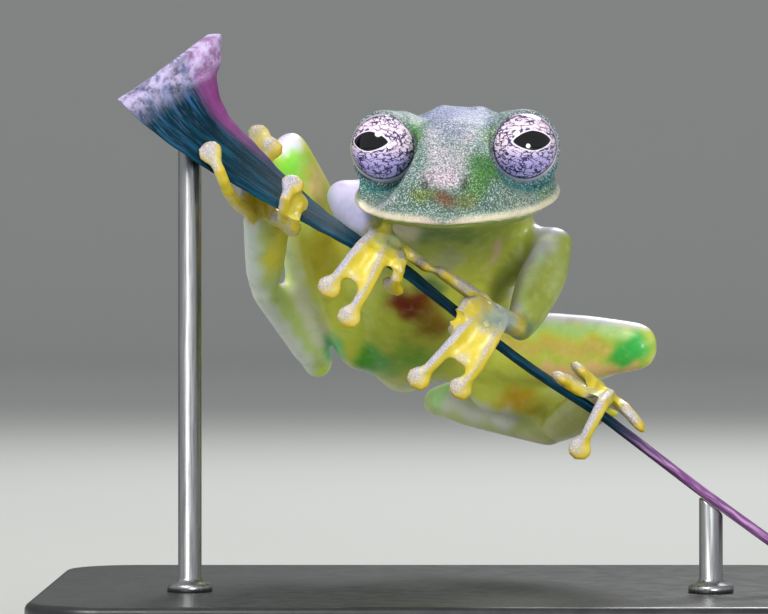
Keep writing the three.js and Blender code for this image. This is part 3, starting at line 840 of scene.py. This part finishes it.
def digit_colours(colour, points, normals, bulge, w):
    """Digits are lavender grey along their tops, partly a painted highlight on the side that faces
    the key light, and yellow below, on their discs and in the webs.
    """
    digits = np.clip(w["hand"] + w["foot"] * smoothstep(7.0, 5.0, points[:, 1]), 0, 1)
    colour = paint(colour, digits * 0.9, 0xCDB618)
    # The lavender grey on the digits' tops is their own colour, partly a painted highlight: it is
    # laid on the side that faces the key light, where the yellow is also thinned.
    lit = smoothstep(-0.2, 0.75, normals @ np.array([-0.62, -0.3, 0.72]))
    ridge = smoothstep(-0.02, 0.03, bulge)
    pale = digits * lit * ridge
    colour = paint(colour, pale * 0.95, 0xB2B0CA)
    tip = smoothstep(0.038, 0.055, bulge)
    colour = paint(colour, digits * tip * (1 - 0.6 * lit), 0xD2B424)
    return paint_patches(colour, wavy(points), PALMS, digits), pale


def head_colours(colour, head, w):
    """The face is mottled blue green, with a pink snout and green and olive patches."""
    face = skull(head, w)
    uneven = wavy(head)
    colour = paint(colour, face, 0x729488)
    colour = paint_patches(colour, uneven, FACE_PATCHES, face)
    colour = paint(colour, face * 0.75 * hump(ridge_distance(head), 0.3), 0xEADFEC)
    for sign in SIDES:
        offset = head - eye_centre(sign)
        far = np.linalg.norm(offset, axis=1)
        below = smoothstep(0.25, 0.7, -offset[:, 2] / far) * (1 - smoothstep(2.05, 2.8, far))
        colour = paint(colour, face * below * 0.95, 0x178C86)
        rim = 1 - smoothstep(0.1, 0.2, far - EYE_RADIUS)
        colour = paint(colour, face * rim * 0.4, 0xA9A8C4)
    # Painted shade: the nostril pits are painted dark brown.
    colour = paint(colour, face * (1 - smoothstep(0.1, 0.22, nostril_distance(head))), 0x33241C)
    jaws = w["head"] + w["jaw"]
    lip = 1 - smoothstep(0.16, 0.34, distance_to(head, mouth_curve(0.2)))
    colour = paint(colour, lip * jaws, 0xF2E4C6)
    rosy = lip * hump(head[:, 1] + 0.4, 1.3)
    colour = paint(colour, rosy * jaws * 0.6, 0xE4BCC0)
    line = 1 - smoothstep(0.03, 0.13, distance_to(head, mouth_curve(MOUTH_DROP)))
    colour = paint(colour, line * jaws * 0.9, 0x5A5A20)
    clear = np.max([blob(uneven, centre, radius) for centre, radius in CLEAR_PATCHES], axis=0)
    return colour, face * (1 - lip), 1 - 0.85 * clear


def skull(head, w):
    """How much each point belongs to the head's speckled top, which runs on to the nape."""
    above = smoothstep(-0.05, 0.15, distance_above_mouth(head))
    nape = w["torso"] * smoothstep(-0.5, 1.5, head[:, 2])
    return np.clip(w["head"] * above + nape, 0, 1) * smoothstep(-7.5, -3.0, wavy(head)[:, 0])


def skin_colours(points, normals, bulge, w):
    """The skin's broad colours, how strong its speckle is, and how pale the speckle's tops are."""
    colour = body_colours(points, normals, w)
    colour, lit_digit_tops = digit_colours(colour, points, normals, bulge, w)
    colour, speckle, frost = head_colours(colour, to_head(points), w)
    speckle = speckle + 0.35 * on_back(normals, w) + 0.45 * lit_digit_tops
    return colour, np.clip(speckle, 0, 1), frost


def distance_above_mouth(head):
    """How far each point is above the level of the mouth, in the head's frame."""
    rim = np.array(JAW_RIM)
    level = np.interp(head[:, 0], rim[:, 0], rim[:, 2]) - MOUTH_DROP
    return head[:, 2] - level


SKIN_FINISH = {
    "Subsurface Weight": 0.25,
    "Subsurface Radius": (1.0, 0.9, 0.35),
    "Subsurface Scale": 0.0006,
    "Coat Weight": 0.1,
    "Coat Roughness": 0.25,
}


def granules(g, place):
    """Granules that are drawn out here and there into wrinkles: high on their tops, low between."""
    bent = g.vector("ADD", place, g.scaled(g.noise(place, 4.0, 3.0, out="Color"), 0.3))
    grain = g.ramp(g.cells(bent, 10.5), 0.1, 0.65, 1.0, 0.0)
    fine = g.noise(place, 9.0, 3.0, 0.7)
    worm = g.noise(bent, 5.5, 2.0, 0.5, 1.6)
    wrinkles = g.times(g.math("ADD", fine, worm), 0.75)
    return g.math("ADD", g.times(grain, 0.8), wrinkles)


def skin_material():
    """Broad colours from the mesh, under pale granules on the head and soft mottling elsewhere."""
    g = Graph("frog_skin")
    place = g.attribute("place", "Vector")
    tint = g.attribute("tint", "Color")
    speckle = g.attribute("speckle")
    relief = granules(g, place)
    gap = g.times(g.ramp(relief, 0.72, 1.12, 1.0, 0.0), speckle)
    colour = g.mix(g.times(gap, 0.85), tint, g.mix(0.8, tint, 0x0A201C))
    frosted = g.times(speckle, g.attribute("frost"))
    top = g.times(g.ramp(relief, 1.14, 1.4), frosted)
    colour = g.mix(g.times(top, 0.42), colour, 0xECEAF2)
    # Smooth skin: soft mottling, clearer and duller by turns.
    plain = g.math("SUBTRACT", 1.0, speckle)
    mottle = g.noise(place, 1.0, 3.0, 0.5)
    dull = g.times(g.ramp(mottle, 0.48, 0.75, 0.0, 0.4), plain)
    colour = g.mix(dull, colour, g.mix(0.5, tint, 0x5F7426))
    bright = g.noise(place, 1.9, 2.0, 0.5)
    pale = g.times(g.ramp(bright, 0.45, 0.8, 0.0, 0.3), plain)
    colour = g.mix(pale, colour, g.mix(0.45, tint, 0xF0F0C0))
    g.surface(SKIN_FINISH)
    g.surface({"Base Color": colour, "Roughness": g.ramp(speckle, 0.0, 1.0, 0.36, 0.58)})
    pores = g.times(g.noise(place, 3.0, 1.0, 0.4), 0.08)
    height = g.math("ADD", g.times(relief, speckle), pores)
    g.surface({"Normal": g.bump(height, 0.6, 0.0001)})
    return g.material


def build_skin():
    mesh = remeshed(swollen_flesh())
    mean = averager(mesh)
    points = read_points(mesh)
    weights = region_weights(points, mean)
    points = smoothed(points, mean, FIRST_ROUNDS)
    write_points(mesh, points)
    points = points - read_normals(mesh) * SWELL
    points = evened(smoothed(points, mean, LAST_ROUNDS), mean, weights)
    write_points(mesh, points)
    points = shaped_head(points, read_normals(mesh), weights)
    write_points(mesh, points)
    normals = read_normals(mesh)
    broad = repeated(mean, points, BROAD_ROUNDS)
    bulge = ((points - broad) * normals).sum(axis=1)
    colour, speckle, frost = skin_colours(points, normals, bulge, weights)
    colour = repeated(mean, colour, COLOUR_ROUNDS)
    store(mesh, "tint", "FLOAT_COLOR", np.column_stack([colour, np.ones(len(colour))]))
    store(mesh, "speckle", "FLOAT", speckle)
    store(mesh, "frost", "FLOAT", frost)
    store(mesh, "place", "FLOAT_VECTOR", points)
    shade_smooth(mesh)
    skin = link(bpy.data.objects.new("frog_skin", mesh))
    mesh.materials.clear()
    mesh.materials.append(skin_material())
    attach(skin, "root")
    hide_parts(*FLESH)


# The eyes

EYE_SEGMENTS = (128, 96)
IRIS_PALE = 0xE4D0E0
IRIS_BLUE = 0xAEA4DC
IRIS_VEIN = 0x241650
# The dark line round the iris: which way it faces for each eye, and its height above the middle.
RING_OUT = {1: math.radians(12), -1: math.radians(2)}
IRIS_EDGE = (0.8, 0.92)
# The pupil's half width and half height, and how far it lies above the middle.
PUPIL = (0.98, 0.5)
PUPIL_UP = 0.26


def iris_veins(g, place):
    """Worming veins: thin level lines of three noises whose places are bent."""
    bend = g.scaled(g.noise(place, 6.5, 1.0, 0.5, out="Color"), 0.2)
    bent = g.vector("ADD", g.vector("MULTIPLY", place, (1.0, 0.65, 1.4)), bend)
    net = 0.0
    for shift in ((0.0, 0.0, 0.0), (7.3, 2.1, 4.4), (3.9, 8.2, 1.7)):
        moved = g.vector("ADD", bent, shift)
        level = g.math("SUBTRACT", g.noise(moved, 2.6, 0.0), 0.5)
        line = g.ramp(g.math("ABSOLUTE", level), 0.026, 0.05, 1.0, 0.0)
        broken = g.ramp(g.noise(moved, 2.6, 1.0), 0.42, 0.5)
        net = g.math("MAXIMUM", net, g.times(line, broken))
    return net


def iris_ring(g, iris):
    """A thin dark line runs round the iris, and the ball outside it is clear and pale."""
    inner_edge, outer_edge = IRIS_EDGE
    height = g.attribute("ring_height")
    rise = g.ramp(height, inner_edge - 0.1, inner_edge - 0.02)
    line = g.times(rise, g.ramp(height, inner_edge + 0.02, outer_edge, 1.0, 0.0))
    iris = g.mix(g.ramp(height, inner_edge - 0.1, inner_edge), 0xC4B8CC, iris)
    return g.mix(g.times(line, 0.85), iris, 0x2E1640)


def pupil(g, iris, y, z):
    """The pupil is a level lens shape with a thin pale border."""
    wide = g.math("DIVIDE", y, PUPIL[0])
    tall = g.math("DIVIDE", g.math("SUBTRACT", z, PUPIL_UP), PUPIL[1])
    wide = g.math("POWER", g.math("ABSOLUTE", wide), 1.6)
    lens = g.math("ADD", wide, g.math("POWER", g.math("ABSOLUTE", tall), 1.5))
    colour = g.mix(g.ramp(lens, 1.12, 1.22, 1.0, 0.0), iris, 0xE8E4F0)
    return g.mix(g.ramp(lens, 0.96, 1.06, 1.0, 0.0), colour, 0x050508)


def eye_material():
    """The iris is painted in each eye's own frame: x along the gaze, y across, z up."""
    g = Graph("frog_eye")
    local = g.attribute("iris_place", "Vector")
    y, z = g.apart(local)[1:]
    pale = g.mix(g.ramp(z, -0.9, 0.2), IRIS_BLUE, IRIS_PALE)
    iris = g.mix(g.times(iris_veins(g, local), 0.95), pale, IRIS_VEIN)
    g.surface({"Base Color": pupil(g, iris_ring(g, iris), y, z)})
    g.surface({"Roughness": 0.06, "Coat Weight": 0.15, "Coat Roughness": 0.02})
    return g.material


def build_eye(sign, node, material):
    """A ball with a slight bulge over the iris."""
    around, rings = EYE_SEGMENTS
    made = bmesh.new()
    bmesh.ops.create_uvsphere(made, u_segments=around, v_segments=rings, radius=1.0)
    mesh = bpy.data.meshes.new(node)
    made.to_mesh(mesh)
    made.free()
    flat = np.empty(len(mesh.vertices) * 3)
    mesh.vertices.foreach_get("co", flat)
    ball = unit(flat.reshape(-1, 3))
    forward = gaze(sign)
    across = unit(np.cross([0, 0, 1], forward))
    axes = np.array([forward, across, np.cross(forward, across)])
    bulge = 1 + 0.02 * smoothstep(0.5, 0.95, ball[:, 0])
    local = ball * EYE_RADIUS * bulge[:, None]
    write_points(mesh, from_head(local @ axes + eye_centre(sign)))
    shade_smooth(mesh)
    store(mesh, "iris_place", "FLOAT_VECTOR", local)
    out = RING_OUT[sign]
    ring_way = unit(np.array([math.cos(out), sign * math.sin(out), GAZE_UP]))
    store(mesh, "ring_height", "FLOAT", (local @ axes) @ ring_way)
    mesh.materials.append(material)
    eye = link(bpy.data.objects.new("frog_" + node, mesh))
    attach(eye, "root")
    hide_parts(node)


# The leaf blade

def leaf_track():
    """Along the blade: its middle, its half widths, and the ways along, across and through it."""
    middle = spline([row[:3] for row in LEAF], LEAF_ROWS)
    size = spline([row[3:] for row in LEAF], LEAF_ROWS)
    along = unit(np.gradient(middle, axis=0))
    twist = np.radians(size[:, 1])[:, None]
    width_way = LEAF_UP * np.cos(twist) + np.array([0, 1, 0]) * np.sin(twist)
    width_way = unit(width_way - along * (width_way * along).sum(axis=1, keepdims=True))
    return middle, size[:, 0], along, width_way, np.cross(along, width_way)


def leaf_section(length, half, taper):
    """A cross-section this far along: across, through and back along the blade, and its place."""
    turn = np.linspace(0, 2 * math.pi, LEAF_COLUMNS, endpoint=False)
    t = np.cos(turn)
    face = np.sign(np.sin(turn)) * np.abs(np.sin(turn)) ** 0.7
    broad = max(0.0, 1 - length / 7.0)
    crumple = max(0.0, 1 - length / 2.4)
    ribs = 0.035 * np.sin(t * 16 + 0.8 * math.sin(length * 0.9)) * (0.3 + broad)
    wave = 0.05 * math.sin(length * 2.1) + 0.03 * math.sin(length * 5.3)
    fold = crumple**1.5 * 0.3 * np.sin(t * 7 + 3.0 * math.sin(length * 2.2))
    corner = max(0.0, 1 - length / 2.5) * 0.75 * t
    half = half * (1 + 0.03 * math.sin(length * 1.7) * broad)
    thick = LEAF_HALF_THICK * (0.5 + 0.5 * np.sqrt(np.maximum(1 - t * t, 0)))
    lift = face * thick * taper + (ribs + fold + wave * np.abs(t) ** 2 * 0.6) * 0.8
    place = np.column_stack([np.full(LEAF_COLUMNS, length), t * half, face])
    return t * half * taper, lift, corner, place


def build_leaf():
    """A closed ribbon with lengthwise ribs, a wavy edge and a crumpled broad end."""
    middle, halves, along, width_way, thick_way = leaf_track()
    steps = np.linalg.norm(np.diff(middle, axis=0), axis=1)
    lengths = np.concatenate([[0], np.cumsum(steps)])
    shares = np.linspace(0, 1, LEAF_ROWS)
    points = []
    places = []
    for i in range(LEAF_ROWS):
        side, lift, corner, place = leaf_section(lengths[i], halves[i], end_taper(shares[i]))
        row = middle[i] + side[:, None] * width_way[i] + lift[:, None] * thick_way[i]
        points.append(row - corner[:, None] * along[i])
        places.append(place)
    faces = rings_to_faces(LEAF_ROWS, LEAF_COLUMNS)
    leaf = mesh_object("leaf_blade", np.vstack(points), faces)
    store(leaf.data, "leaf_place", "FLOAT_VECTOR", np.vstack(places))
    leaf.data.materials.append(leaf_material())
    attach(leaf, "root")
    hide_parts("leaf_perch")


def end_taper(share):
    """Draws the blade's two cut ends in a little, so that they are rounded."""
    return min(1.0, 0.8 + 45 * share, 0.35 + 45 * (1 - share))


def leaf_material():
    """Dark blue green with lengthwise streaks, lilac at its crumpled end and purple at its tail."""
    g = Graph("leaf_blade")
    place = g.attribute("leaf_place", "Vector")
    s, t, face = g.apart(place)
    parts = {"X": g.times(s, 0.22), "Y": g.times(t, 2.4), "Z": face}
    drawn_out = g.node("ShaderNodeCombineXYZ", parts).outputs[0]
    streaks = g.noise(drawn_out, 1.6, 5.0, 0.6)
    fine = g.noise(drawn_out, 5.0, 4.0, 0.6)
    colour = g.mix(g.ramp(streaks, 0.4, 0.62), 0x03222F, 0x084257)
    broad = g.ramp(s, 1.0, 5.0, 1.0, 0.0)
    lit_vein = g.times(g.ramp(fine, 0.5, 0.66), broad)
    colour = g.mix(g.times(lit_vein, 0.35), colour, 0x6E86BC)
    colour = g.mix(g.times(g.ramp(streaks, 0.52, 0.7), broad), colour, 0x2F5AA0)
    edge = g.times(g.ramp(t, 0.6, 1.5), g.ramp(s, 9.5, 3.0, 0.0, 1.0))
    colour = g.mix(g.times(edge, 0.75), colour, 0x9A4A8E)
    crumple = g.ramp(s, 0.4, 2.2, 1.0, 0.0)
    patch = g.noise(place, 2.2, 4.0, 0.65)
    faded = g.times(crumple, g.ramp(patch, 0.35, 0.6, 0.25, 0.95))
    colour = g.mix(faded, colour, 0xC3B6DA)
    tail = g.ramp(s, 29.0, 34.0)
    colour = g.mix(g.times(tail, 0.85), colour, 0x7E4E86)
    tail_light = g.times(tail, g.ramp(streaks, 0.48, 0.6))
    colour = g.mix(g.times(tail_light, 0.7), colour, 0xC79CC4)
    g.surface({"Base Color": colour, "Roughness": 0.6, "Specular IOR Level": 0.08})
    folds = g.times(patch, g.times(crumple, 2.0))
    g.surface({"Normal": g.bump(g.math("ADD", fine, folds), 0.5, 0.00015)})
    return g.material


# The stand

def base_outline(inset):
    """The base's rounded outline, drawn in by this much."""
    x = BASE["width"] / 2 - BASE["corner"]
    y = BASE["depth"] / 2 - BASE["corner"]
    radius = BASE["corner"] - inset
    outline = []
    for quarter, (cx, cy) in enumerate(((x, y), (-x, y), (-x, -y), (x, -y))):
        for i in range(CORNER_STEPS + 1):
            turn = (quarter + i / CORNER_STEPS) * math.pi / 2
            outline.append((cx + radius * math.cos(turn), cy + radius * math.sin(turn)))
    return outline


def build_base():
    bevel, thick = BASE["bevel"], BASE["thick"]
    rows = []
    for i in range(BEVEL_STEPS + 1):
        turn = i / BEVEL_STEPS * math.pi / 2
        rows.append((bevel * (1 - math.sin(turn)), bevel * (1 - math.cos(turn))))
    rows += [(inset, thick - height) for inset, height in reversed(rows)]
    points = []
    for inset, height in rows:
        for x, y in base_outline(inset):
            points.append((x - LAYOUT.x, y - LAYOUT.y, height - LAYOUT.z))
    count = len(points) // len(rows)
    base = mesh_object("stand_plate", points, rings_to_faces(len(rows), count))
    shade_sharp_ends(base, count)
    base.data.materials.append(base_material())
    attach(base, "root")
    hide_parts("stand_base")


def base_material():
    """Satin black with a fine grain."""
    g = Graph("stand_plate")
    place = g.node("ShaderNodeTexCoord").outputs["Object"]
    grain = g.noise(place, 900.0, 4.0, 0.6)
    g.surface({"Base Color": g.mix(grain, 0x18191B, 0x26282A)})
    g.surface({"Roughness": g.ramp(grain, 0.3, 0.7, 0.3, 0.42)})
    g.surface({"Normal": g.bump(grain, 0.1, 0.00005)})
    return g.material


def shade_sharp_ends(obj, count):
    """The two flat ends are flat shaded, and what lies between them is smooth."""
    for face in obj.data.polygons:
        if len(face.vertices) == count:
            face.use_smooth = False


def leaf_underside(x):
    """The level just under the leaf blade's middle at a place along it."""
    track = spline([row[:3] for row in LEAF], 400)
    slope = np.gradient(track[:, 2], track[:, 0])
    level = np.interp(x, track[:, 0], track[:, 2])
    lean = np.interp(x, track[:, 0], slope)
    return level - LEAF_HALF_THICK * math.hypot(1, lean) - 0.03


def build_rod(name, material):
    """A rod with a flared foot. The short one's top follows the underside of the blade."""
    x, y, top = RODS[name]
    foot = BASE["thick"] - LAYOUT.z
    profile = [(radius, foot + height) for radius, height in ROD_FOOT]
    profile += [(radius, top - depth) for radius, depth in ROD_TOP]
    points = []
    for radius, level in profile:
        for j in range(ROD_SIDES):
            turn = 2 * math.pi * j / ROD_SIDES
            px = x + radius * math.cos(turn)
            height = level
            if name == "stand_rod_short" and level > foot + 1:
                height = leaf_underside(px) + (level - top)
            points.append((px, y + radius * math.sin(turn), height))
    rod = mesh_object(name + "_steel", points, rings_to_faces(len(profile), ROD_SIDES))
    shade_sharp_ends(rod, ROD_SIDES)
    rod.data.materials.append(material)
    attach(rod, "root")
    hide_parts(name)


def rod_material():
    """Steel, brushed along the rod."""
    g = Graph("stand_rod")
    place = g.vector("MULTIPLY", g.node("ShaderNodeTexCoord").outputs["Object"], (1.0, 1.0, 0.04))
    brushed = g.noise(place, 9000.0, 3.0, 0.6)
    g.surface({"Base Color": g.mix(brushed, 0x8C8E90, 0xB4B5B6), "Metallic": 1.0})
    g.surface({"Roughness": g.ramp(brushed, 0.3, 0.7, 0.26, 0.4)})
    return g.material


add_camera()
add_lights()
add_floor()
build_skin()
shared_eye = eye_material()
for eye_sign, eye_node in zip(SIDES, EYES):
    build_eye(eye_sign, eye_node, shared_eye)
build_leaf()
build_base()
shared_rod = rod_material()
for rod_name in RODS:
    build_rod(rod_name, shared_rod)
